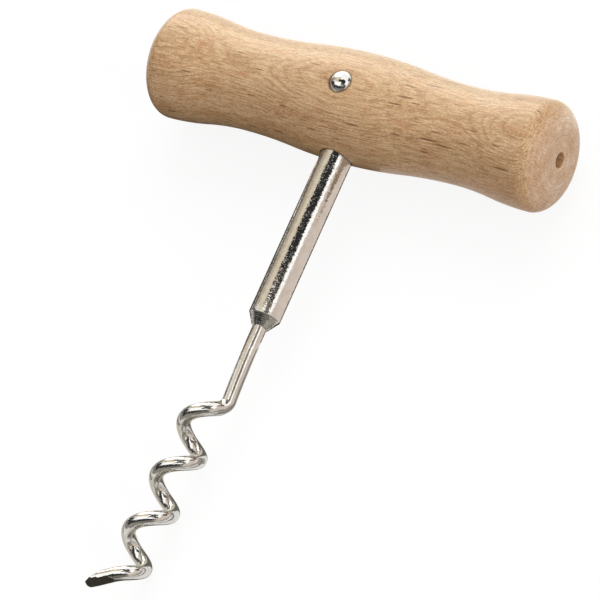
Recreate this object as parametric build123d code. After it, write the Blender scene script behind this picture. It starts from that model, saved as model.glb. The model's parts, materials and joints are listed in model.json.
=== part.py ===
from build123d import *
import os
from math import acos, atan2, cos, degrees, floor, pi, radians, sin, sqrt, tan

# All sizes are in millimetres. The tool is drawn with the handle along X, the
# shank down along -Y and the rivet up along Z, and is laid on the floor at the end.

# Handle, turned from one stick of beech, with the shank a little to the left of its middle
handle_length = 100.0
belly_d = 24.6
neck_d = 21.3
neck_from_middle = 26.9
swell_d = 24.4
end_round_length = 4.4
end_face_d = 10.4
hang_hole_d = 3.4
hang_hole_depth = 12.0
shank_off_middle = 0.5

# Shank, a turned steel bar with a conical nose
shank_d = 7.1
shank_reach = 50.7
shank_past_axis = 7.0
shank_top_chamfer = 0.6
nose_length = 2.5
nose_wall = 0.3

# Worm, one length of wire: leg, bend, coil and ground point
wire_d = 3.15
wire_depth = 26.0
leg_length = 17.6
leg_swing = 0.6
bend_inside_r = 1.1
coil_r = 3.4
coil_pitch = 13.17
coil_turns = 3.25
coil_lean = 2.8
point_run = 6.55
point_end_d = 1.15

# The two flats ground on the point. Facing is measured round the wire, from
# straight out of the coil towards its lower end; left is the metal left at the end.
long_flat_facing = 65.0
long_flat_slope = 8.5
long_flat_left = 2.1
short_flat_facing = -76.0
short_flat_slope = 22.0
short_flat_left = 1.35

# Rivet, a low round head rivet closed on the back
rivet_d = 2.5
rivet_head_d = 4.9
rivet_head_height = 1.35
closed_head_d = 4.8
closed_head_height = 0.9
head_bite = 0.15

# The rivet is drilled by eye, a little off the crossing of handle and shank
rivet_aside = 0.4
rivet_above = 0.7

# Clearances, each on the radius or at the bottom of a bore
shank_gap = 0.05
wire_gap = 0.04
rivet_gap = 0.05
bottom_gap = 0.3

# Places and directions that several pieces share
down = Vector(0, -1, 0)
belly_r = belly_d / 2
nose_tip = shank_reach + nose_length
rivet_place = Pos(rivet_aside, rivet_above, 0)
seat = belly_r - head_bite


def ogee(start, end):
    """Two equal arcs between two points, level at both ends."""
    middle = (start + end) / 2
    first = TangentArc(start, middle, tangent=(1, 0))
    return [first, TangentArc(middle, end, tangent=first % 1)]


def handle_half():
    """The right half of the handle, turned from one outline without its holes."""
    end = handle_length / 2
    belly = Vector(0, belly_r)
    neck = Vector(neck_from_middle, neck_d / 2)
    swell = Vector(end - end_round_length, swell_d / 2)
    face_r = end_face_d / 2
    outline = [
        *ogee(belly, neck),
        *ogee(neck, swell),
        EllipticalCenterArc((swell.X, face_r), end_round_length, swell.Y - face_r),
        *Polyline((end, face_r), (end, 0), (0, 0), belly).edges(),
    ]
    return revolve(make_face(outline), Axis.X)


def drill(radius, length):
    """A drill that stands on the XY plane."""
    return Cylinder(radius, length, align=(Align.CENTER, Align.CENTER, Align.MIN))


def make_handle():
    """The handle with its holes for the shank, the rivet and a hook."""
    half = handle_half()
    body = Pos(shank_off_middle, 0, 0) * (half + mirror(half, Plane.YZ))
    bore_top = shank_past_axis + bottom_gap
    body -= Plane.XZ * Pos(0, 0, -bore_top) * drill(shank_d / 2 + shank_gap, bore_top + belly_d)
    body -= rivet_place * Cylinder(rivet_d / 2 + rivet_gap, 2 * belly_d)
    body -= rivet_place * Pos(0, 0, seat) * drill(rivet_head_d / 2 + rivet_gap, belly_d)
    back = rivet_place * Rot(180, 0, 0) * Pos(0, 0, seat)
    body -= back * drill(closed_head_d / 2 + rivet_gap, belly_d)
    hole_bottom = shank_off_middle + handle_length / 2 - hang_hole_depth
    return body - Plane.YZ * Pos(0, 0, hole_bottom) * drill(hang_hole_d / 2, hang_hole_depth)


def make_shank():
    """The shank, a turned bar with its wire bore and rivet hole."""
    bore_r = wire_d / 2 + wire_gap
    outline = Polyline(
        (0, shank_past_axis),
        (shank_d / 2 - shank_top_chamfer, shank_past_axis),
        (shank_d / 2, shank_past_axis - shank_top_chamfer),
        (shank_d / 2, -shank_reach),
        (bore_r + nose_wall, -nose_tip),
        (0, -nose_tip),
        close=True,
    )
    bar = revolve(make_face(outline), Axis.Y)
    bar -= Plane.XZ * Pos(0, 0, nose_tip - wire_depth - bottom_gap) * drill(bore_r, nose_tip)
    return bar - rivet_place * Cylinder(rivet_d / 2 + rivet_gap, 2 * belly_d)


def coil_heading(angle):
    """Direction of the wire at an angle round the coil, in radians from the leg."""
    rise = coil_pitch / (2 * pi)
    local = Vector(-coil_r * sin(angle), -rise, coil_r * cos(angle))
    return local.rotate(Axis.Z, -coil_lean).normalized()


turn_length = sqrt((2 * pi * coil_r) ** 2 + coil_pitch**2)
bend_angle = acos(down.dot(coil_heading(0)))
bend_run = (bend_inside_r + wire_d / 2) * tan(bend_angle / 2)
coil_top = Vector(-coil_r, -(nose_tip + leg_length + bend_run), 0)
coil_start = 2 * pi * bend_run / turn_length
coil_end = 2 * pi * coil_turns


def coil_point(angle):
    """Point of the coil's centreline at that angle."""
    drop = coil_pitch * angle / (2 * pi)
    local = Vector(coil_r * cos(angle), -drop, coil_r * sin(angle))
    return coil_top + local.rotate(Axis.Z, -coil_lean)


def biarc(start, heading, end, end_heading):
    """Two arcs that leave start along heading and reach end along end_heading."""
    chord = end - start
    along = chord.dot(heading + end_heading)
    spread = 2 * (1 - heading.dot(end_heading))
    reach = (sqrt(along**2 + spread * chord.dot(chord)) - along) / spread
    first = start + heading * reach
    last = end - end_heading * reach
    middle = (first + last) / 2
    return [
        Edge.make_tangent_arc(start, heading, middle),
        Edge.make_tangent_arc(middle, last - first, end),
    ]


def worm_path():
    """The wire's centreline, from its end in the shank to the end of the point."""
    nose = down * nose_tip
    bend_start = Vector(leg_swing, -nose_tip - leg_length, 0)
    leg = Edge.make_tangent_arc(nose, down, bend_start)
    edges = [Edge.make_line(nose - down * wire_depth, nose), leg]
    edges += biarc(bend_start, leg % 1, coil_point(coil_start), coil_heading(coil_start))
    quarters = round(4 * coil_turns)
    step = (coil_end - coil_start) / quarters
    for quarter in range(quarters):
        angle = coil_start + quarter * step
        edges += biarc(
            coil_point(angle),
            coil_heading(angle),
            coil_point(angle + step),
            coil_heading(angle + step),
        )
    run = coil_heading(coil_end) * point_run
    edges.append(Edge.make_line(coil_point(coil_end), coil_point(coil_end) + run))
    return Wire(edges)


def grinding_block(end, facing, slope, left):
    """A block whose underside grinds one flat on the point."""
    heading = coil_heading(coil_end)
    outward = Vector(cos(coil_end), 0, sin(coil_end)).rotate(Axis.Z, -coil_lean)
    lower = outward.cross(heading)
    side = outward * cos(radians(facing)) + lower * sin(radians(facing))
    flat = Plane(
        origin=end + side * (left - wire_d / 2),
        x_dir=heading * cos(radians(slope)) - side * sin(radians(slope)),
        z_dir=heading * sin(radians(slope)) + side * cos(radians(slope)),
    )
    length = wire_d / sin(radians(slope)) + wire_d
    block = Box(length, 2 * wire_d, wire_d, align=(Align.MAX, Align.CENTER, Align.MIN))
    return flat * Pos(wire_d, 0, 0) * block


def least_gap(path):
    """Least gap of the wire to itself, between points half a turn or more apart."""
    count = round(8 * path.length / wire_d)
    points = [path @ (i / count) for i in range(count + 1)]
    apart = round(count * turn_length / 2 / path.length)
    distances = (
        (points[i] - points[j]).length
        for i in range(count + 1)
        for j in range(i + apart, count + 1)
    )
    return min(distances) - wire_d


def make_worm():
    """The wire, bent and wound, with its end rounded and ground to a point."""
    path = worm_path()
    wire = sweep(Plane(path @ 0, z_dir=path % 0) * Circle(wire_d / 2), path)
    end = path @ 1
    end_face = wire.faces().sort_by_distance(end)[0]
    wire = fillet(end_face.edges(), (wire_d - point_end_d) / 2)
    wire -= grinding_block(end, long_flat_facing, long_flat_slope, long_flat_left)
    wire -= grinding_block(end, short_flat_facing, short_flat_slope, short_flat_left)
    print("least gap of the worm to itself", round(least_gap(path), 2), "mm")
    return wire


def make_rivet():
    """The rivet with its made head in front and its closed head at the back."""
    top = (0, seat + rivet_head_height)
    bottom = (0, -seat - closed_head_height)
    pin = Polyline(
        (closed_head_d / 2, -seat),
        (rivet_d / 2, -seat),
        (rivet_d / 2, seat),
        (rivet_head_d / 2, seat),
    )
    outline = [
        *pin.edges(),
        TangentArc(top, pin @ 1, tangent=(1, 0)),
        TangentArc(bottom, pin @ 0, tangent=(1, 0)),
        Line(bottom, top),
    ]
    return rivet_place * Rot(90, 0, 0) * revolve(make_face(outline), Axis.Y)


def lying_lean():
    """Angle that brings the closed head and the coil down to the floor together."""
    lowest_turn = floor(coil_turns + 0.25) - 0.25
    lowest = coil_point(2 * pi * lowest_turn)
    closed_end = seat + closed_head_height
    return degrees(atan2(closed_end - coil_r - wire_d / 2, rivet_above - lowest.Y))


pieces = {
    "handle": make_handle(),
    "shank": make_shank(),
    "worm": make_worm(),
    "rivet": make_rivet(),
}
lean = Rot(lying_lean(), 0, 0)
box = Compound([lean * piece for piece in pieces.values()]).bounding_box()
lay = Pos(-box.center().X, -box.center().Y, -box.min.Z) * lean

os.makedirs("parts", exist_ok=True)
for name, piece in pieces.items():
    export_step(lay * piece, f"parts/{name}.step")
print("lying lean", round(lying_lean(), 3), "degrees, handle axis at", lay.position)
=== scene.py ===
import json
from math import acos, cos, pi, radians, sin, sqrt, tan

import bpy
from mathutils import Euler, Matrix, Vector
from mathutils.geometry import interpolate_bezier


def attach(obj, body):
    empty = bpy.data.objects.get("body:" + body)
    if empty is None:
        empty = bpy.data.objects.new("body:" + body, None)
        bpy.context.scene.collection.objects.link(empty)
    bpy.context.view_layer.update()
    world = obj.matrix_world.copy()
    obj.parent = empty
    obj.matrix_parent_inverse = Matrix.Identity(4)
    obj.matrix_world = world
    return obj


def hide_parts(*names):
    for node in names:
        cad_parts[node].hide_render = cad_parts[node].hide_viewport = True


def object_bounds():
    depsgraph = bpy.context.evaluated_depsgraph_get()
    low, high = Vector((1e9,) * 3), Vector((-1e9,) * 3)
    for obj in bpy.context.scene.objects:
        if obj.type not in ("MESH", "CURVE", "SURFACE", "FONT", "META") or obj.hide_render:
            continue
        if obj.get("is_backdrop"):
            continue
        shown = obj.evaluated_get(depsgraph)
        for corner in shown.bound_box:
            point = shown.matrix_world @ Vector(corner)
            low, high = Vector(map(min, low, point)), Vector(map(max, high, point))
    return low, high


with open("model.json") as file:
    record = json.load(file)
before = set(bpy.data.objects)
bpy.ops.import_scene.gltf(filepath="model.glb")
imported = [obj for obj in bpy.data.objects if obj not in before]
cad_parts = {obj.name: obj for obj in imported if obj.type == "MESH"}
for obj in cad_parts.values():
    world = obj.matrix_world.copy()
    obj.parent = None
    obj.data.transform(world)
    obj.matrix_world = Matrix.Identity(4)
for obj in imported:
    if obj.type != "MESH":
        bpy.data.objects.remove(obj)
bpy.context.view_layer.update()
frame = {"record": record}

# Handle: one stick of beech, turned to a belly between two soft waists. It is
# bored for the shank and the rivet, drilled in one end for a hook, and finished
# with a clear satin lacquer.

mm = 0.001
handle_length = 100 * mm
belly_r = 12.3 * mm
neck_r = 10.65 * mm
neck_from_middle = 26.9 * mm
swell_r = 12.2 * mm
end_round_length = 4.4 * mm
end_face_r = 5.2 * mm
hook_hole_r = 1.7 * mm
hook_hole_depth = 12 * mm
hook_hole_lip = 0.25 * mm
shank_off_middle = 0.5 * mm
shank_r = 3.55 * mm
shank_past_axis = 7 * mm
shank_bore_gap = 0.09 * mm
bore_bottom_gap = 0.3 * mm
rivet_r = 1.25 * mm
rivet_head_r = 2.45 * mm
closed_head_r = 2.4 * mm
rivet_gap = 0.05 * mm
head_bite = 0.15 * mm
rivet_aside = 0.4 * mm
rivet_above = 0.7 * mm
seat = belly_r - head_bite

# The tool is drawn with the handle along X, the shank down -Y and the rivet up Z.
# It is then laid down as the solids lie, on the coil and the rivet's closed head.
lying_lean = radians(4.23)
lean = Matrix.Rotation(lying_lean, 4, "X")
hook_hole = next(m for m in frame["record"]["mounts"] if m["name"] == "hang_hole")
handle_axis = Vector((0, *hook_hole["pos_m"][1:]))
off_middle = Matrix.Translation((shank_off_middle, 0, 0))
lying = off_middle.inverted() @ Matrix.Translation(handle_axis) @ lean
at_the_rivet = lying @ Matrix.Translation((rivet_aside, rivet_above, 0))
rivet_spot = at_the_rivet @ Vector((0, 0, seat)) - handle_axis
bore_mouth = lying @ Vector((0, -belly_r, 0)) - handle_axis

# How finely pieces are turned and drilled, the distance within which two points
# are one, the thinnest face that is kept, and the angle at which an edge is sharp
handle_sides = 144
drill_sides = 96
merge_reach = 0.002 * mm
thinnest_face = 0.001 * mm
sharp_angle = radians(32)


def ogee(start, end, count):
    """Points of two equal arcs from start to just before end, level at both."""
    run = (end[0] - start[0]) / 2
    rise = (end[1] - start[1]) / 2
    radius = (run**2 + rise**2) / (2 * abs(rise))
    points = []
    for i in range(2 * count):
        x = run * i / count
        from_end = x if i < count else 2 * run - x
        bow = (radius - sqrt(radius**2 - from_end**2)) * (1 if rise > 0 else -1)
        points.append((start[0] + x, start[1] + bow if i < count else end[1] - bow))
    return points


def quarter(centre, length, height, count):
    """Points of a quarter ellipse, from straight above its centre to straight ahead."""
    turns = [pi / 2 * i / count for i in range(count + 1)]
    return [(centre[0] + length * sin(t), centre[1] + height * cos(t)) for t in turns]


def lay_down(piece, place):
    """Move a piece from where it was drawn to where it lies, with its place in its mesh."""
    bpy.ops.object.select_all(action="DESELECT")
    piece.select_set(True)
    bpy.context.view_layer.objects.active = piece
    piece.matrix_world = place
    bpy.ops.object.transform_apply(location=True, rotation=True, scale=True)
    bpy.ops.object.shade_smooth_by_angle(angle=sharp_angle)


def turned(name, outline, sides, place):
    """Draw an outline of (along, radius) points, spin it round X and put it in place."""
    bpy.ops.object.select_all(action="DESELECT")
    bpy.ops.mesh.primitive_plane_add(size=2 * mm)
    piece = bpy.context.object
    piece.name = name
    bpy.ops.object.mode_set(mode="EDIT")
    # The plane shrinks to the one point that the outline is drawn from
    bpy.ops.mesh.merge(type="CENTER")
    bpy.ops.transform.translate(value=(*outline[0], 0))
    for here, there in zip(outline, outline[1:]):
        step = (there[0] - here[0], there[1] - here[1], 0)
        bpy.ops.mesh.extrude_vertices_move(TRANSFORM_OT_translate={"value": step})
    bpy.ops.mesh.select_all(action="SELECT")
    bpy.ops.mesh.spin(steps=sides, angle=2 * pi, center=(0, 0, 0), axis=(1, 0, 0))
    bpy.ops.mesh.select_all(action="SELECT")
    bpy.ops.mesh.remove_doubles(threshold=merge_reach)
    bpy.ops.mesh.normals_make_consistent(inside=False)
    bpy.ops.object.mode_set(mode="OBJECT")
    lay_down(piece, place)
    return piece


def bore(piece, radius, depth, place):
    """Cut a round hole that starts at the place's origin and runs along its Z."""
    bpy.ops.object.select_all(action="DESELECT")
    bpy.ops.mesh.primitive_cylinder_add(vertices=drill_sides, radius=radius, depth=depth)
    drill = bpy.context.object
    drill.matrix_world = place @ Matrix.Translation((0, 0, depth / 2))
    cut = piece.modifiers.new("bore", "BOOLEAN")
    cut.operation = "DIFFERENCE"
    cut.solver = "EXACT"
    cut.object = drill
    bpy.context.view_layer.objects.active = piece
    bpy.ops.object.modifier_apply(modifier=cut.name)
    bpy.data.objects.remove(drill)
    bpy.ops.object.mode_set(mode="EDIT")
    bpy.ops.mesh.select_all(action="SELECT")
    bpy.ops.mesh.dissolve_degenerate(threshold=thinnest_face)
    bpy.ops.object.mode_set(mode="OBJECT")


half_length = handle_length / 2
swell_x = half_length - end_round_length
belly = (0, belly_r)
neck = (neck_from_middle, neck_r)
swell = (swell_x, swell_r)
end_centre = (swell_x, end_face_r)
right_half = [
    *ogee(belly, neck, count=20),
    *ogee(neck, swell, count=16),
    *quarter(end_centre, end_round_length, swell_r - end_face_r, count=24),
]
left_half = [(-x, r) for x, r in reversed(right_half[1:])]
lip_centre = (half_length - hook_hole_lip, hook_hole_r + hook_hole_lip)
hook_lip = quarter(lip_centre, hook_hole_lip, -hook_hole_lip, count=4)
handle_outline = [
    (-half_length, 0),
    (-half_length, end_face_r / 2),
    *left_half,
    *right_half,
    (half_length, end_face_r - hook_hole_r),
    *reversed(hook_lip),
    (half_length - hook_hole_depth / 2, hook_hole_r),
    (half_length - hook_hole_depth, hook_hole_r),
    (half_length - hook_hole_depth, 0),
]
handle = turned("beech_handle", handle_outline, handle_sides, lying @ off_middle)

# Bores: the shank's from below, the rivet's right through, and a seat for each of its heads
right_through = 4 * belly_r
bore_top = shank_past_axis + bore_bottom_gap
at_bore_top = lying @ Matrix.Translation((0, bore_top, 0))
shank_way = Matrix.Rotation(radians(90), 4, "X")
rivet_way = Matrix.Translation((0, 0, -right_through / 2))
front_way = Matrix.Translation((0, 0, seat))
back_way = Matrix.Rotation(pi, 4, "X") @ front_way
bore(handle, shank_r + shank_bore_gap, right_through, at_bore_top @ shank_way)
bore(handle, rivet_r + rivet_gap, right_through, at_the_rivet @ rivet_way)
bore(handle, rivet_head_r + rivet_gap, belly_r, at_the_rivet @ front_way)
bore(handle, closed_head_r + rivet_gap, belly_r, at_the_rivet @ back_way)


def linear(red, green, blue):
    """A colour written as 0 to 255 screen values, as the shader's own linear values."""
    parts = [c / 255 for c in (red, green, blue)]
    return (*(c / 12.92 if c < 0.04045 else ((c + 0.055) / 1.055) ** 2.4 for c in parts), 1)


def feed(tree, node, feeds):
    """Set or link a node's inputs, by name or number."""
    for key, value in feeds.items():
        if isinstance(value, bpy.types.NodeSocket):
            tree.links.new(value, node.inputs[key])
        else:
            node.inputs[key].default_value = value


def put(tree, kind, feeds=None, **settings):
    """Add a node, choose its settings and feed its inputs."""
    made = tree.nodes.new(kind)
    for key, value in settings.items():
        setattr(made, key, value)
    feed(tree, made, feeds or {})
    return made


def fade(tree, value, low, high, to_low=0, to_high=1):
    """A smooth step of a value from one range to another."""
    feeds = {"Value": value, "From Min": low, "From Max": high}
    feeds |= {"To Min": to_low, "To Max": to_high}
    step = put(tree, "ShaderNodeMapRange", feeds, interpolation_type="SMOOTHSTEP")
    return step.outputs["Result"]


def sums(tree, operation, *values):
    """One sum of values."""
    return put(tree, "ShaderNodeMath", dict(enumerate(values)), operation=operation).outputs[0]


def vectors(tree, operation, *values, result="Vector"):
    """One sum of vectors, whose result is a vector or a value."""
    feeds = dict(enumerate(values))
    return put(tree, "ShaderNodeVectorMath", feeds, operation=operation).outputs[result]


def blend(tree, share, first, second):
    """Two colours mixed by a share."""
    feeds = {0: share, 6: first, 7: second}
    return put(tree, "ShaderNodeMix", feeds, data_type="RGBA").outputs[2]


def stretched(tree, place, scale, turn=(0, 0, 0)):
    """A place stretched along the grain, for a pattern longer than it is wide."""
    feeds = {"Vector": place, "Rotation": turn, "Scale": scale}
    return put(tree, "ShaderNodeMapping", feeds).outputs["Vector"]


def noise(tree, place, scale, detail=2, roughness=0.5):
    """A noise stretched to a scale along each axis."""
    scaled = stretched(tree, place, scale)
    feeds = {"Vector": scaled, "Scale": 1, "Detail": detail, "Roughness": roughness}
    return put(tree, "ShaderNodeTexNoise", feeds).outputs


def shifted(tree, place, offset, reach):
    """A place moved by a noise's colour, by up to half the reach each way."""
    centred = vectors(tree, "SUBTRACT", offset, (0.5, 0.5, 0.5))
    return vectors(tree, "MULTIPLY_ADD", centred, reach, place)


def new_material(name):
    """An empty material with its shader, and the tree and shader to work on."""
    material = bpy.data.materials.new(name)
    material.use_nodes = True
    tree = material.node_tree
    return material, tree, tree.nodes["Principled BSDF"]


def emboss(tree, shader, pattern, depth, strength=1):
    """Raise a pattern on a finish, over the relief that it has already."""
    feeds = {"Height": pattern, "Strength": strength, "Distance": depth}
    for earlier in shader.inputs["Normal"].links:
        feeds["Normal"] = earlier.from_socket
    relief = put(tree, "ShaderNodeBump", feeds).outputs["Normal"]
    tree.links.new(relief, shader.inputs["Normal"])


def dress(piece, *materials):
    """Give a piece its materials, with the first on every face."""
    piece.data.materials.clear()
    for material in materials:
        piece.data.materials.append(material)


darker_growth = linear(209, 172, 123)
paler_growth = linear(223, 192, 145)
late_wood_brown = linear(178, 130, 82)
patch_orange = linear(203, 146, 92)
streak_brown = linear(176, 129, 85)
end_grain_pink = linear(222, 190, 162)
# Painted sheen on the end faces
end_sheen_white = linear(243, 228, 212)
end_grain_dark = linear(186, 143, 105)
fibre_dark = linear(153, 105, 63)
fibre_pale = linear(238, 210, 166)
speckle_dark = linear(150, 106, 64)
speckle_pale = linear(238, 212, 170)
turning_brown = linear(158, 112, 72)
fine_fleck_brown = linear(140, 92, 50)
short_fleck_brown = linear(124, 76, 38)
long_fleck_brown = linear(112, 66, 32)
# Painted shade in a ring round the rivet's head
rivet_ring_shade = linear(92, 58, 36)
# Painted shade round the mouth of the shank's bore
bore_mouth_shade = linear(88, 58, 38)

beech, tree, shader = new_material("lacquered_beech")
# Millimetres from the middle of the handle, with the grain swaying along the stick
given = put(tree, "ShaderNodeTexCoord").outputs
feeds = {
    "Vector": given["Object"],
    "Location": [-1000 * c for c in handle_axis],
    "Scale": (1000, 1000, 1000),
}
stick = put(tree, "ShaderNodeMapping", feeds).outputs["Vector"]
sway = noise(tree, stick, (0.02, 0.06, 0.06), detail=1)["Color"]
grain = shifted(tree, stick, sway, (0, 5, 1.2))

# Growth rings that lie flat under the front, so that the belly and the swells cut them to ovals
heart_below = (0, 0, 42)
ripple = noise(tree, grain, (0.3, 0.3, 0.3))["Color"]
rippled = shifted(tree, grain, ripple, (0, 0.5, 0.2))
feeds = {"Vector": rippled, "Location": heart_below}
heart = put(tree, "ShaderNodeMapping", feeds).outputs["Vector"]
feeds = {"Vector": heart, "Scale": 0.8, "Distortion": 2.5, "Detail": 2, "Detail Scale": 0.25}
kind = {"wave_type": "RINGS", "rings_direction": "X", "wave_profile": "SAW"}
rings = put(tree, "ShaderNodeTexWave", feeds, **kind).outputs["Fac"]
late_wood = fade(tree, rings, 0.35, 1.0)

# Soft changes of tone along the stick, the fibre, its streaks, a fine speckle and warm patches
tone = noise(tree, grain, (0.035, 0.16, 0.16), detail=3, roughness=0.55)["Fac"]
fibre = noise(tree, grain, (0.24, 3.4, 3.4), roughness=0.6)["Fac"]
streak = noise(tree, grain, (0.09, 1.0, 1.0))["Fac"]
speckle = noise(tree, grain, (1.7, 4.4, 4.4), roughness=0.6)["Fac"]
patch = fade(tree, noise(tree, grain, (0.12, 0.42, 0.42))["Fac"], 0.57, 0.7)

# How far the surface looks along the stick, which shows the grain end on, in blotches, with
# pale blotches of painted sheen on the end faces
outward = put(tree, "ShaderNodeSeparateXYZ", {"Vector": given["Normal"]}).outputs["X"]
endwise = sums(tree, "ABSOLUTE", outward)
end_grain = fade(tree, endwise, 0.6, 0.93)
side_grain = fade(tree, endwise, 0.75, 0.5)
blotch = noise(tree, stick, (0.3, 0.28, 0.28), detail=3, roughness=0.65)["Fac"]
# Painted sheen: pale blotches on the end grain
end_sheen_patches = sums(tree, "MULTIPLY", end_grain, fade(tree, blotch, 0.46, 0.68, 0, 0.55))
dark_end = sums(tree, "MULTIPLY", end_grain, fade(tree, blotch, 0.48, 0.32, 0, 0.5))


def flecks(spacing, size, seed):
    """Short dark dashes where the wood's rays come to the surface."""
    moved = vectors(tree, "ADD", grain, (seed, seed, seed))
    aslant = (0, 0, 0.05)
    dashes = stretched(tree, moved, tuple(1 / s for s in spacing), aslant)
    cells = put(tree, "ShaderNodeTexVoronoi", {"Vector": dashes, "Scale": 1}).outputs
    chance = put(tree, "ShaderNodeSeparateColor", {"Color": cells["Color"]}).outputs[0]
    reach = fade(tree, chance, 0.25, 0.9, 0.04, size)
    near = sums(tree, "DIVIDE", cells["Distance"], reach)
    return sums(tree, "MULTIPLY", fade(tree, near, 1.0, 0.7), side_grain)


long_flecks = flecks(spacing=(17, 1.3, 1.8), size=0.2, seed=0.0)
short_flecks = flecks(spacing=(9, 0.95, 1.4), size=0.2, seed=31.7)
fine_flecks = flecks(spacing=(5, 0.65, 0.9), size=0.21, seed=77.3)

# Fine lines left by turning, which show near the two ends and round the end faces
along = put(tree, "ShaderNodeSeparateXYZ", {"Vector": stick}).outputs["X"]
near_end = fade(tree, sums(tree, "ABSOLUTE", along), 38, 47, 0.15, 1)
feeds = {"Vector": stick, "Scale": 0.62, "Distortion": 0.8, "Detail": 2, "Detail Scale": 2}
lathe = put(tree, "ShaderNodeTexWave", feeds, bands_direction="X").outputs["Fac"]
feeds = {"Vector": stick, "Scale": 0.24, "Distortion": 9, "Detail": 3, "Detail Scale": 0.12}
kind = {"wave_type": "RINGS", "rings_direction": "X"}
circles = put(tree, "ShaderNodeTexWave", feeds, **kind).outputs["Fac"]
side_lines = sums(tree, "MULTIPLY", near_end, lathe)
end_lines = fade(tree, circles, 0.6, 1.0, 0, 0.75)
feeds = {0: end_grain, 2: side_lines, 3: end_lines}
turning = put(tree, "ShaderNodeMix", feeds).outputs[0]

# Painted shade in the wood: a darker ring round the rivet's head and round the mouth of the
# shank's bore, where the parts meet
from_rivet = vectors(tree, "SUBTRACT", stick, rivet_spot / mm)
seen_from_front = vectors(tree, "MULTIPLY", from_rivet, (1, 1, 0))
rivet_distance = vectors(tree, "LENGTH", seen_from_front, result="Value")
mouth_distance = vectors(tree, "DISTANCE", stick, bore_mouth / mm, result="Value")

# Each colour over those before it, in the share that it takes
colour = blend(tree, fade(tree, tone, 0.3, 0.7), darker_growth, paler_growth)
for share, shade in (
    (sums(tree, "MULTIPLY", late_wood, 0.6), late_wood_brown),
    (sums(tree, "MULTIPLY", patch, 0.55), patch_orange),
    (fade(tree, streak, 0.4, 0.7, 0, 0.3), streak_brown),
    (sums(tree, "MULTIPLY", end_grain, 0.6), end_grain_pink),
    # Painted sheen in pale blotches on the end faces
    (end_sheen_patches, end_sheen_white),
    (dark_end, end_grain_dark),
    (fade(tree, fibre, 0.48, 0.66, 0, 0.55), fibre_dark),
    (fade(tree, fibre, 0.47, 0.3, 0, 0.5), fibre_pale),
    (fade(tree, speckle, 0.5, 0.68, 0, 0.55), speckle_dark),
    (fade(tree, speckle, 0.46, 0.3, 0, 0.45), speckle_pale),
    (sums(tree, "MULTIPLY", turning, 0.25), turning_brown),
    (sums(tree, "MULTIPLY", fine_flecks, 0.65), fine_fleck_brown),
    (sums(tree, "MULTIPLY", short_flecks, 0.8), short_fleck_brown),
    (sums(tree, "MULTIPLY", long_flecks, 0.8), long_fleck_brown),
    # Painted shade in a ring round the rivet's head
    (fade(tree, rivet_distance, 3.0, 2.5, 0, 0.85), rivet_ring_shade),
    # Painted shade round the mouth of the shank's bore
    (fade(tree, mouth_distance, 4.1, 3.7, 0, 0.75), bore_mouth_shade),
):
    colour = blend(tree, share, colour, shade)
satin_lacquer = {
    "Base Color": colour,
    "Roughness": fade(tree, speckle, 0.35, 0.7, 0.4, 0.55),
    "Specular IOR Level": 0.25,
    "Coat Weight": 0.5,
    "Coat Roughness": 0.25,
}
feed(tree, shader, satin_lacquer)
open_grain = sums(tree, "SUBTRACT", sums(tree, "ADD", fibre, turning), long_flecks)
emboss(tree, shader, open_grain, 0.02 * mm, strength=0.5)

dress(handle, beech)
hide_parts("handle")
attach(handle, "root")

# Shank: a steel bar turned with a short cone at its nose, bored for the wire,
# nickel plated all over and pushed into the handle, where the rivet holds it.

shank_reach = 50.7 * mm
shank_top_chamfer = 0.6 * mm
nose_length = 2.5 * mm
nose_wall = 0.3 * mm
nose_edge = 0.1 * mm
tool_mark_depth = 0.016 * mm
tool_mark_count = 6
tool_mark_points = 8
wire_r = 1.575 * mm
wire_gap = 0.04 * mm
wire_depth = 26 * mm
wire_bore_r = wire_r + wire_gap
nose_tip = shank_reach + nose_length
nose_tip_r = wire_bore_r + nose_wall
shank_sides = 96
straight_rings = 24

cone = []
cone_length = nose_length - nose_edge
cone_points = tool_mark_count * tool_mark_points
for i in range(cone_points + 1):
    share = i / cone_points
    mark = tool_mark_depth * (1 - cos(2 * pi * i / tool_mark_points)) / 2
    fall = share * (shank_r - nose_edge - nose_tip_r)
    along_cone = shank_reach + nose_edge + share * cone_length
    cone.append((along_cone, shank_r - nose_edge - fall - mark))
straight = [(shank_reach * i / straight_rings, shank_r) for i in range(straight_rings)]
rounded_edge = [
    (shank_reach - nose_edge, shank_r),
    (shank_reach - nose_edge / 3, shank_r - nose_edge / 8),
    (shank_reach + nose_edge / 3, shank_r - nose_edge / 2.4),
]
shank_outline = [
    (-shank_past_axis, 0),
    (-shank_past_axis, shank_r - shank_top_chamfer),
    (-shank_past_axis + shank_top_chamfer, shank_r),
    *straight,
    *rounded_edge,
    *cone,
    (nose_tip, wire_bore_r),
    (nose_tip - wire_depth / 2, wire_bore_r),
    (nose_tip - wire_depth, wire_bore_r),
    (nose_tip - wire_depth, 0),
]
down_the_shank = lying @ Matrix.Rotation(radians(-90), 4, "Z")
shank = turned("nickel_shank", shank_outline, shank_sides, down_the_shank)
bore(shank, rivet_r + rivet_gap, right_through, at_the_rivet @ rivet_way)

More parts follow.
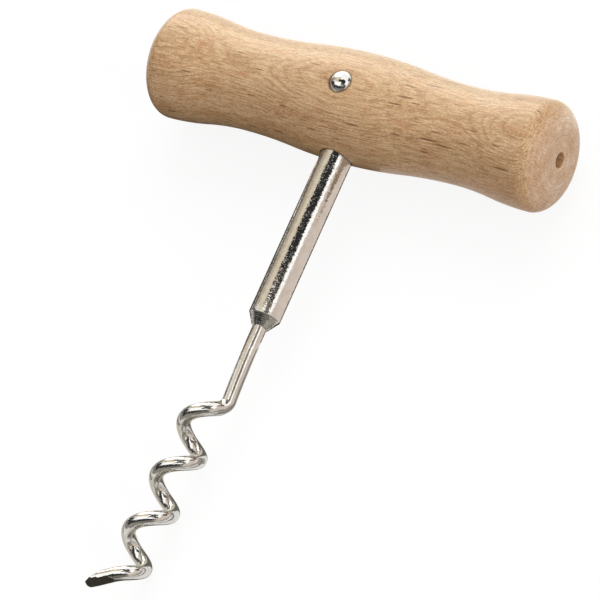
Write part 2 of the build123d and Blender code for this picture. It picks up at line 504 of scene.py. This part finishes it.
# The plating's own skin, shared by all the plated pieces: a fine peel with dull specks
paler_nickel = linear(214, 212, 208)
darker_nickel = linear(207, 204, 198)
plating = bpy.data.node_groups.new("plated_skin", "ShaderNodeTree")
plating.interface.new_socket("Grain", in_out="INPUT", socket_type="NodeSocketFloat")
plating.interface.new_socket("Height", in_out="OUTPUT", socket_type="NodeSocketFloat")
plating.interface.new_socket("Dull", in_out="OUTPUT", socket_type="NodeSocketFloat")
plating.interface.new_socket("Tint", in_out="OUTPUT", socket_type="NodeSocketColor")
fine_grain = put(plating, "NodeGroupInput").outputs["Grain"]
broad_grain = sums(plating, "MULTIPLY", fine_grain, 0.22)
skin_place = put(plating, "ShaderNodeTexCoord").outputs["Object"]
feeds = {"Vector": skin_place, "Scale": fine_grain, "Detail": 1}
fine = put(plating, "ShaderNodeTexNoise", feeds).outputs["Fac"]
feeds = {"Vector": skin_place, "Scale": broad_grain, "Detail": 1}
broad = put(plating, "ShaderNodeTexNoise", feeds).outputs["Fac"]
skin = {
    "Height": sums(plating, "ADD", fine, broad),
    "Dull": fade(plating, fine, 0.5, 0.68, 0.07, 0.26),
    "Tint": blend(plating, fade(plating, broad, 0.35, 0.7), paler_nickel, darker_nickel),
}
put(plating, "NodeGroupOutput", skin)


def plated(name, grain_size, relief):
    """A nickel plated finish with its skin's grain and relief."""
    material, tree, shader = new_material(name)
    feeds = {"Grain": 1 / grain_size}
    skin = put(tree, "ShaderNodeGroup", feeds, node_tree=plating).outputs
    metal = {"Base Color": skin["Tint"], "Roughness": skin["Dull"], "Metallic": 1}
    feed(tree, shader, metal)
    emboss(tree, shader, skin["Height"], relief)
    return material


dress(shank, plated("nickel_bar", grain_size=0.4 * mm, relief=0.036 * mm))
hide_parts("shank")
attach(shank, "root")

# Worm: one length of steel wire, set in the shank, bent aside and wound into an
# open coil. It is nickel plated, and its end is ground on two sides to a point.

leg_length = 17.6 * mm
leg_swing = 0.6 * mm
bend_inside_r = 1.1 * mm
coil_r = 3.4 * mm
coil_pitch = 13.17 * mm
coil_turns = 3.25
coil_lean = radians(2.8)
point_run = 6.55 * mm
point_end_r = 0.575 * mm
flat_reach = 0.05 * mm
flat_match = 0.99
# Each ground flat: its facing round the wire, its slope and the metal left at the end
flats = (
    (radians(65), radians(8.5), 2.1 * mm),
    (radians(-76), radians(22), 1.35 * mm),
)
# How many points each stretch of the wire is drawn with
leg_points = 24
bend_points = 16
coil_points = 288
run_points = 12
round_points = 12
lean_of_coil = Matrix.Rotation(-coil_lean, 3, "Z")
down = Vector((0, -1, 0))


def coil_heading(angle):
    """Direction of the wire at an angle round the coil."""
    local = Vector((-coil_r * sin(angle), -coil_pitch / (2 * pi), coil_r * cos(angle)))
    return (lean_of_coil @ local).normalized()


bend_angle = acos(down.dot(coil_heading(0)))
bend_r = bend_inside_r + wire_r
bend_run = bend_r * tan(bend_angle / 2)
coil_top = Vector((-coil_r, -(nose_tip + leg_length + bend_run), 0))
turn_length = sqrt((2 * pi * coil_r) ** 2 + coil_pitch**2)
coil_start = 2 * pi * bend_run / turn_length
coil_end = 2 * pi * coil_turns


def coil_point(angle):
    """Point of the coil's middle line at an angle round it."""
    local = Vector((coil_r * cos(angle), -coil_pitch * angle / (2 * pi), coil_r * sin(angle)))
    return coil_top + lean_of_coil @ local


# The wire's middle line: the part in the shank, the leg, the bend and the coil
nose = down * nose_tip
line = [nose - down * (wire_depth - wire_gap), nose - down * wire_depth / 2]
leg_r = (leg_length**2 + leg_swing**2) / (2 * leg_swing)
leg_turn = acos(1 - leg_swing / leg_r)
for i in range(leg_points):
    turn = leg_turn * i / leg_points
    line.append(nose + Vector((leg_r * (1 - cos(turn)), -leg_r * sin(turn), 0)))
bend_start = nose + Vector((leg_swing, -leg_length, 0))
bend_end = coil_point(coil_start)
leg_heading = Vector((sin(leg_turn), -cos(leg_turn), 0))
hold = 4 / 3 * tan(bend_angle / 4) * bend_r
leg_hold = bend_start + leg_heading * hold
coil_hold = bend_end - coil_heading(coil_start) * hold
line += interpolate_bezier(bend_start, leg_hold, coil_hold, bend_end, bend_points)[:-1]
for i in range(coil_points):
    line.append(coil_point(coil_start + (coil_end - coil_start) * i / coil_points))
thickness = [1.0] * len(line)

# The straight run to the point, and its rounded end
run_start = coil_point(coil_end)
run_heading = coil_heading(coil_end)
tip = run_start + run_heading * point_run
round_r = wire_r - point_end_r
for i in range(run_points):
    line.append(run_start + run_heading * (point_run - round_r) * i / run_points)
    thickness.append(1.0)
for i in range(round_points + 1):
    turn = pi / 2 * i / round_points
    line.append(tip - run_heading * round_r * (1 - sin(turn)))
    thickness.append((point_end_r + round_r * cos(turn)) / wire_r)

wire = bpy.data.curves.new("worm_wire", "CURVE")
wire.dimensions = "3D"
wire.bevel_depth = wire_r
wire.bevel_resolution = 16
wire.use_fill_caps = True
strand = wire.splines.new("POLY")
strand.points.add(len(line) - 1)
for point, where, share in zip(strand.points, line, thickness):
    point.co = (*where, 1)
    point.radius = share
worm = bpy.data.objects.new("nickel_worm", wire)
bpy.context.scene.collection.objects.link(worm)
bpy.ops.object.select_all(action="DESELECT")
worm.select_set(True)
bpy.context.view_layer.objects.active = worm
bpy.ops.object.convert(target="MESH")
worm = bpy.context.object
bpy.ops.object.mode_set(mode="EDIT")
bpy.ops.mesh.select_all(action="SELECT")
bpy.ops.mesh.remove_doubles(threshold=merge_reach)
bpy.ops.mesh.normals_make_consistent(inside=False)
bpy.ops.object.mode_set(mode="OBJECT")

# The two flats, ground one after the other
outward = lean_of_coil @ Vector((cos(coil_end), 0, sin(coil_end)))
lower = outward.cross(run_heading)
ground = []
for facing, slope, left in flats:
    side = outward * cos(facing) + lower * sin(facing)
    spot = tip + side * (left - wire_r)
    away = run_heading * sin(slope) + side * cos(slope)
    ground.append((spot, away))
    for face in worm.data.polygons:
        face.select = (face.center - tip).length < point_run + wire_r
    bpy.ops.object.mode_set(mode="EDIT")
    bpy.ops.mesh.bisect(plane_co=spot, plane_no=away, use_fill=True, clear_outer=True)
    bpy.ops.object.mode_set(mode="OBJECT")
# Burrs: edges with a face on one side only
burrs = {"use_multi_face": False, "use_non_contiguous": False, "use_verts": False}
bpy.ops.object.mode_set(mode="EDIT")
bpy.ops.mesh.select_mode(type="EDGE")
bpy.ops.mesh.select_all(action="DESELECT")
bpy.ops.mesh.select_non_manifold(**burrs)
bpy.ops.mesh.delete(type="EDGE")
bpy.ops.mesh.select_mode(type="VERT")
bpy.ops.object.mode_set(mode="OBJECT")
worm.data.validate()

# Ground point: bare steel, darker than the plating, with fine lines across it
darker_steel = linear(34, 32, 26)
paler_steel = linear(64, 61, 52)
bare_steel, tree, shader = new_material("ground_steel")
place = put(tree, "ShaderNodeTexCoord").outputs["Object"]
scratches = noise(tree, place, (3000, 700, 3000), detail=3, roughness=0.7)["Fac"]
metal = {
    "Base Color": blend(tree, fade(tree, scratches, 0.3, 0.7), darker_steel, paler_steel),
    "Roughness": fade(tree, scratches, 0.3, 0.7, 0.3, 0.45),
    "Metallic": 1,
}
feed(tree, shader, metal)
emboss(tree, shader, scratches, 0.01 * mm, strength=0.5)

# Plated wire, with lines along it that drawing and winding left
drawn_wire = plated("nickel_wire", grain_size=0.42 * mm, relief=0.008 * mm)
tree = drawn_wire.node_tree
shader = tree.nodes["Principled BSDF"]
along_wire = put(tree, "ShaderNodeUVMap", uv_map="UVMap").outputs["UV"]
drawing_lines = noise(tree, along_wire, (34, 14, 1), roughness=0.6)["Fac"]
emboss(tree, shader, drawing_lines, 0.04 * mm)

# Plating worn dark along the lower side, where the point was ground
worn_dark = linear(40, 40, 28)
worn_facing = (0.23, -0.88, -0.41)
worn_start = 10.5 * mm
worn_through = 6 * mm
given = put(tree, "ShaderNodeTexCoord").outputs
from_tip = vectors(tree, "DISTANCE", given["Object"], lying @ tip, result="Value")
lower_side = vectors(tree, "DOT_PRODUCT", given["Normal"], worn_facing, result="Value")
near_tip = fade(tree, from_tip, worn_start, worn_through, 0, 0.95)
worn = sums(tree, "MULTIPLY", near_tip, fade(tree, lower_side, 0.35, 0.75))
plate_tint = shader.inputs["Base Color"].links[0].from_socket
feed(tree, shader, {"Base Color": blend(tree, worn, plate_tint, worn_dark)})

dress(worm, drawn_wire, bare_steel)
for face in worm.data.polygons:
    for spot, away in ground:
        off_flat = abs((face.center - spot).dot(away))
        if face.normal.dot(away) > flat_match and off_flat < flat_reach:
            face.material_index = 1
lay_down(worm, lying)
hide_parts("worm")
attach(worm, "root")

# Rivet: a low round head rivet of nickel plated steel, driven through the handle and
# the shank and hammered over to a low head at the back.

rivet_head_height = 1.35 * mm
closed_head_height = 0.9 * mm
rivet_sides = 72


def dome(base, radius, height, count):
    """Points of a round head, from its rim to its top."""
    ball = (radius**2 + height**2) / (2 * height)
    low = acos(1 - height / ball)
    turns = [low * (1 - i / count) for i in range(count + 1)]
    return [(base + height - ball * (1 - cos(t)), ball * sin(t)) for t in turns]


front_head = dome(seat, rivet_head_r, rivet_head_height, count=28)
closed_head = dome(seat, closed_head_r, closed_head_height, count=14)
rivet_outline = [
    *((-x, r) for x, r in reversed(closed_head)),
    (-seat, rivet_r),
    (0, rivet_r),
    (seat, rivet_r),
    *front_head,
]
up_the_rivet = at_the_rivet @ Matrix.Rotation(radians(-90), 4, "Y")
rivet = turned("nickel_rivet", rivet_outline, rivet_sides, up_the_rivet)
dress(rivet, plated("nickel_head", grain_size=0.5 * mm, relief=0.003 * mm))
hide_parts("rivet")
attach(rivet, "root")

# Studio: a plain pale floor under two soft lamps, one behind and one on the right.
# Cards from dark to bright stand round it, which only polished surfaces see, and
# the camera stands at the photograph's angle.

floor_size = 6
floor_grey = (0.13, 0.13, 0.13, 1)
floor_seen = 0.89
fill_colour = (1, 0.91, 0.9, 1)
fill_strength = 0.63
white = (1, 1, 1, 1)
warm = (1, 0.95, 0.84, 1)
khaki = (1, 0.88, 0.7, 1)
pink = (1, 0.87, 0.78, 1)


def seen_directly(tree):
    """1 where the camera sees a ground straight, in metal or through glass, and else 0."""
    ray = put(tree, "ShaderNodeLightPath").outputs
    camera_or_metal = sums(tree, "MAXIMUM", ray["Is Camera Ray"], ray["Is Glossy Ray"])
    return sums(tree, "MAXIMUM", camera_or_metal, ray["Is Transmission Ray"])


bpy.ops.object.select_all(action="DESELECT")
bpy.ops.mesh.primitive_plane_add(size=floor_size)
floor = bpy.context.object
floor.name = "studio_floor"
pale, tree, shader = new_material("pale_floor")
matt_paper = {
    "Base Color": floor_grey,
    "Roughness": 1,
    "Specular IOR Level": 0,
    "Emission Color": white,
    "Emission Strength": sums(tree, "MULTIPLY", seen_directly(tree), floor_seen),
}
feed(tree, shader, matt_paper)
dress(floor, pale)
floor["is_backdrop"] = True

world = bpy.data.worlds.new("studio")
bpy.context.scene.world = world
world.use_nodes = True
tree = world.node_tree
seen = seen_directly(tree)
fill = {
    "Color": blend(tree, seen, fill_colour, white),
    "Strength": fade(tree, seen, 0, 1, fill_strength, 1),
}
feed(tree, tree.nodes["Background"], fill)

lamp_target = Vector((0, 0.02, 0.012))
lamp_distance = 0.9


def soft_lamp(name, way, width, height, colour, power):
    """A soft rectangular lamp that points at the tool, and leaves no glint of its own."""
    lamp = bpy.data.lights.new(name, "AREA")
    lamp.color = colour
    lamp.shape = "RECTANGLE"
    lamp.size = width
    lamp.size_y = height
    lamp.energy = power
    holder = bpy.data.objects.new(name, lamp)
    bpy.context.scene.collection.objects.link(holder)
    holder.location = lamp_target + Vector(way) * lamp_distance
    to_target = lamp_target - holder.location
    holder.rotation_euler = to_target.to_track_quat("-Z", "Y").to_euler()
    holder.visible_glossy = False


soft_lamp("back_lamp", (-0.09, 0.68, 0.73), 0.7, 0.5, colour=(0.91, 0.98, 1.0), power=3.2)
soft_lamp("side_lamp", (0.96, -0.05, 0.26), 0.5, 0.5, colour=(1, 1, 1), power=3.0)


def card(name, corners, colour, strength):
    """A card with four corners that only polished surfaces see."""
    bpy.ops.object.select_all(action="DESELECT")
    bpy.ops.mesh.primitive_plane_add(size=1)
    made = bpy.context.object
    made.name = name
    (first, second, third, last) = corners
    for vertex, corner in zip(made.data.vertices, (first, second, last, third)):
        vertex.co = corner
    material, tree, shader = new_material(name)
    glowing = {
        "Base Color": (0, 0, 0, 1),
        "Specular IOR Level": 0,
        "Emission Color": colour,
        "Emission Strength": strength,
    }
    feed(tree, shader, glowing)
    dress(made, material)
    made.visible_camera = False
    made.visible_diffuse = False
    made.visible_transmission = False
    made.visible_shadow = False
    made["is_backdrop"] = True


def across(left, right, first, last):
    """Corners of a card from left to right, between two edges at (y, z)."""
    return (left, *first), (right, *first), (right, *last), (left, *last)


def along_y(front, back, first, last):
    """Corners of a card from front to back, between two edges at (x, z)."""
    ends = ((first, front), (first, back), (last, back), (last, front))
    return [(x, y, z) for (x, z), y in ends]


def level(height, *spots):
    """Corners of a level card, at four spots (x, y)."""
    return [(*spot, height) for spot in spots]


# Heights of the cards that lie on the floor, and of what lies over and under them
on_floor = 0.0003
on_cards = 0.0005
under_cards = 0.0002

# Bright boards behind the tool and over it
card("back_box", across(-0.9, 0.5, (0.6, -0.01), (0.2, 0.62)), white, 1.4)
card("sheen_box", across(-0.62, -0.12, (0.5, 0.0), (0.4, 0.24)), warm, 5)
card("sheen_top", across(-0.62, -0.12, (0.4, 0.24), (0.3, 0.48)), warm, 2.6)
card("sheen_floor", across(-0.25, 0.08, (0.07, on_floor), (0.3, on_floor)), warm, 1.7)
card("rim_box", across(-0.1, 0.08, (0.5, 0.02), (0.5, 0.24)), white, 2.5)
roof = level(0.25, (-0.22, -0.155), (0.45, -0.13), (0.45, 0.2), (-0.22, 0.2))
card("top_box", roof, white, 1.6)
roof = level(0.24, (-0.2, -0.005), (0.0, -0.005), (-0.03, 0.2), (-0.2, 0.2))
card("top_left", roof, khaki, 0.95)
roof = level(0.25, (-0.5, -0.36), (0.5, -0.36), (0.5, -0.13), (-0.5, -0.165))
card("front_roof", roof, white, 0.05)

# Dark and grey cards over it, for the dark bands in the shank, the leg and the rivet
gap = level(0.161, (-0.04, 0.034), (0.03, 0.03), (0.03, 0.09), (-0.035, 0.08))
card("dark_gap", gap, white, 0.03)
card("dark_lens", across(0.029, 0.13, (0.006, 0.16), (0.11, 0.16)), white, 0.03)
lens = level(0.16, (0.029, -0.06), (0.13, -0.04), (0.13, 0.006), (0.029, 0.006))
card("grey_lens", lens, warm, 0.14)
card("leg_grey", across(0.016, 0.08, (0.003, 0.1), (0.025, 0.1)), khaki, 0.27)
card("dark_right", across(0.1, 0.25, (-0.06, 0.165), (0.0, 0.165)), white, 0.05)

# On the right
flag = ((0.2, 0.38, 0.05), (0.33, 0.25, 0.05), (0.33, 0.25, 0.25), (0.2, 0.38, 0.16))
card("right_flag", flag, white, 0.03)
card("right_board", along_y(-0.5, 0.5, (0.4, 0.21), (0.4, 0.0)), pink, 0.86)
near_edge = ((0.0045, 0.0, on_floor), (0.4, 0.0, on_floor))
far_edge = ((0.4, 0.2, under_cards), (0.0045, 0.06, under_cards))
card("right_floor", near_edge + far_edge, pink, 0.9)

# On the left, where a leaning board gets brighter towards its top
for low, high, strength in (
    (0.0, 0.07, 0.14),
    (0.07, 0.11, 0.4),
    (0.11, 0.2, 0.62),
    (0.2, 0.3, 0.82),
):
    band = along_y(0.05, 0.14, (low / 2 - 0.3, low), (high / 2 - 0.3, high))
    card(f"left_board_{round(100 * low)}", band, khaki, strength)
card("left_front", along_y(-0.3, 0.0, (-0.3, 0.0), (-0.27, 0.095)), white, 0.3)
card("left_dark", along_y(-0.3, 0.01, (-0.27, 0.095), (-0.24, 0.2)), white, 0.05)
flag = ((-0.28, -0.09, 0.02), (-0.28, 0.045, 0.02), (-0.26, 0.045, 0.15), (-0.26, -0.02, 0.15))
card("left_flag", flag, white, 0.03)

# In front
card("front_left", across(-0.5, -0.2, (-0.34, 0.2), (-0.33, 0.4)), warm, 0.28)
card("front_middle", across(-0.2, 0.03, (-0.34, 0.2), (-0.33, 0.4)), white, 0.05)
card("front_low", across(-0.5, 0.03, (-0.35, 0.0), (-0.34, 0.2)), warm, 0.35)
card("front_right", across(0.03, 0.5, (-0.35, 0.0), (-0.33, 0.4)), warm, 0.24)

# On the floor, under the shank and the worm
card("front_floor", across(0.03, 0.4, (-0.3, on_floor), (-0.012, on_floor)), warm, 0.45)
card("cone_floor", across(0.002, 0.03, (-0.03, on_floor), (-0.001, on_floor)), warm, 0.45)
card("floor_flag", across(-0.12, 0.0045, (0.0, on_floor), (0.045, on_floor)), khaki, 0.1)
for left, right, strength in (
    (-0.12, -0.045, 0.62),
    (-0.045, -0.03, 0.22),
    (-0.03, -0.006, 0.78),
    (-0.006, -0.0015, 0.18),
    (0.006, 0.01, 0.24),
    (0.022, 0.03, 0.3),
):
    strip = across(left, right, (-0.075, on_cards), (-0.001, on_cards))
    card(f"worm_strip_{round(1000 * right)}", strip, warm, strength)

# Camera, placed and turned in the frame that the tool is drawn in
camera_stand = (0.744733, -0.430405, 1.228612)
camera_turn = (radians(26.59949), radians(22.23126), radians(25.3605))
camera = bpy.data.cameras.new("camera")
camera.lens = 420
camera.sensor_width = 36
camera.clip_end = 10
viewer = bpy.data.objects.new("camera", camera)
bpy.context.scene.collection.objects.link(viewer)
aim = Euler(camera_turn).to_matrix().to_4x4()
viewer.matrix_world = lying @ Matrix.Translation(camera_stand) @ aim
bpy.context.scene.camera = viewer
bpy.context.scene.view_settings.view_transform = "Standard"

low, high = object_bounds()
